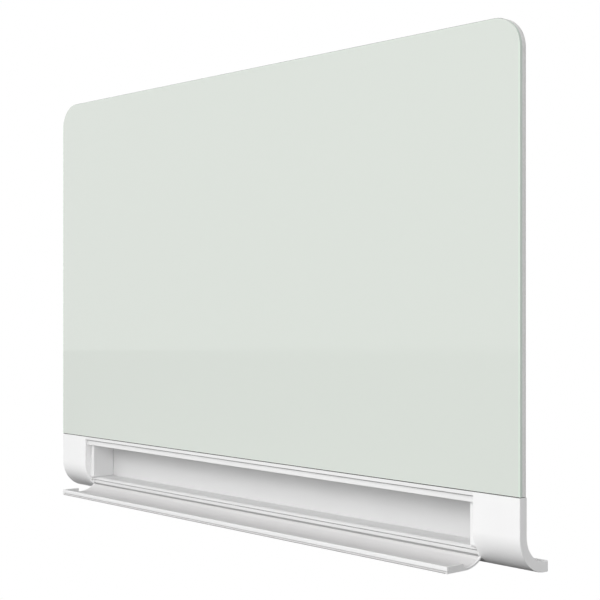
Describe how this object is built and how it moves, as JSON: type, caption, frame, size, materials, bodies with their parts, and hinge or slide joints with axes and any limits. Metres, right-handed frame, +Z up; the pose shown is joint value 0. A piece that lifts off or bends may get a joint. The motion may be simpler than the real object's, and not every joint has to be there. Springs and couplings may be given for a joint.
{
  "type": "glass whiteboard",
  "caption": "Wall-hung glass whiteboard with rounded top corners and a curved pen tray that folds up to close a storage recess under the glass.",
  "frame": {"origin": "centre of the four wall screw holes, on the wall plane behind the brackets", "axes": "+X to the right along the board seen from the front, +Y into the wall, +Z up; the glass faces -Y"},
  "size_m": [0.991, 0.097, 0.6522],
  "materials": {
    "glass": "back-painted white, polished",
    "steel_sheet": "galvanised",
    "core": "grey fibreboard",
    "back_sheet": "grey coil coating",
    "gasket": "dark, matt",
    "cap": "white, satin",
    "rail_paint": "white, satin",
    "bezel": "pale grey, satin",
    "channel": "pale grey, satin",
    "floor_rail": "pale grey, satin",
    "tray": "white, satin",
    "lip": "white, satin",
    "hanger": "mill finish",
    "zinc": "zinc plated",
    "magnet": "nickel plated",
    "rubber": "matt",
    "screw": "zinc plated"
  },
  "bodies": {
    "board": {"back_sheet": "back_sheet", "bezel_screws": "screw", "bottom_panel": "channel", "cap_screws": "screw", "catch_magnet_left": "magnet", "catch_magnet_right": "magnet", "core_panel": "core", "floor_rail": "floor_rail", "floor_screws": "screw", "glass_panel": "glass", "hanger_rail": "hanger", "hanger_screws": "screw", "joint_gasket": "gasket", "left_bezel": "bezel", "left_end_cap": "cap", "mounting_plate": "zinc", "panel_screws": "screw", "plate_screws": "screw", "rear_channel": "channel", "right_bezel": "bezel", "right_end_cap": "cap", "steel_sheet": "steel_sheet", "top_rail": "rail_paint", "top_rail_screws": "screw", "wall_bracket_left": "zinc", "wall_bracket_right": "zinc", "wall_bumpers": "rubber"},
    "tray": {"tray_door": "tray", "tray_lip": "lip", "tray_end_left": "tray", "tray_end_right": "tray"}
  },
  "joints": [
    {"name": "tray_hinge", "type": "hinge", "parent": "board", "child": "tray", "pos_m": [0, -0.03539, -0.49861], "axis": [-1, 0, 0], "range_deg": [0, 90]}
  ]
}
